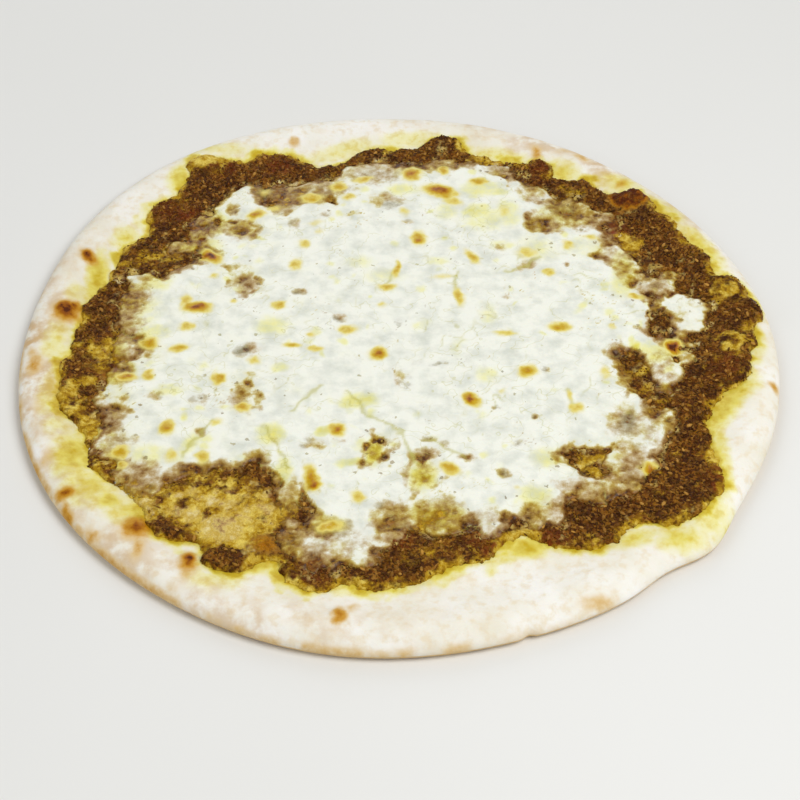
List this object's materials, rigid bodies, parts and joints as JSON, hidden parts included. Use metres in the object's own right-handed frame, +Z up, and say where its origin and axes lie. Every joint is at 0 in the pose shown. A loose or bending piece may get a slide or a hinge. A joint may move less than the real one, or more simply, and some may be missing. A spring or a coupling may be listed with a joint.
{
  "type": "zaatar manakish",
  "caption": "Round flatbread spread with dark zaatar paste and sesame, and covered with melted white cheese, baked with a pale raised rim.",
  "frame": {"origin": "middle of the bread's outline box, on the flat underside", "axes": "+Z up out of the topping; -Y towards the person who eats it and towards the picture's camera; +X to that person's right"},
  "size_m": [0.2966, 0.2985, 0.0116],
  "materials": {
    "bread": "matte",
    "zaatar": "satin",
    "cheese": "gloss"
  },
  "bodies": {
    "root": {"bread": "bread", "zaatar": "zaatar", "cheese": "cheese"}
  },
  "joints": []
}
